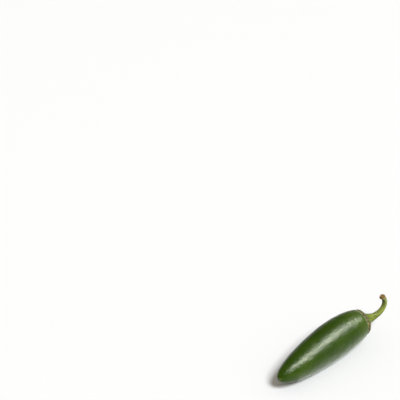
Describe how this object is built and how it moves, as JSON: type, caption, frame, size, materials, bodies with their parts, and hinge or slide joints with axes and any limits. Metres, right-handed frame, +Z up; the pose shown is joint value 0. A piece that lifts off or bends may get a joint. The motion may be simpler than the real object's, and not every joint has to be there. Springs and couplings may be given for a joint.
{
  "type": "chilli pepper",
  "caption": "Fresh green chilli pepper lying on its side: a glossy tapered pod, a cap-like calyx on its shoulder and a flared stem that curls upwards.",
  "frame": {"origin": "on the resting surface, under the middle of the bounding box", "axes": "+X from the pod's tip towards the stem, +Z up, +Y across the pod"},
  "size_m": [0.0678, 0.0158, 0.0182],
  "materials": {
    "pod": "smooth waxy dark green fruit skin with a soft gloss",
    "calyx": "dull grey-green leafy cap with a brown corky rim",
    "stem": "fibrous yellow-green stalk, ridged lengthwise, brown at its broken end"
  },
  "bodies": {
    "root": {"pod": "pod", "calyx": "calyx", "stem": "stem"}
  },
  "joints": []
}
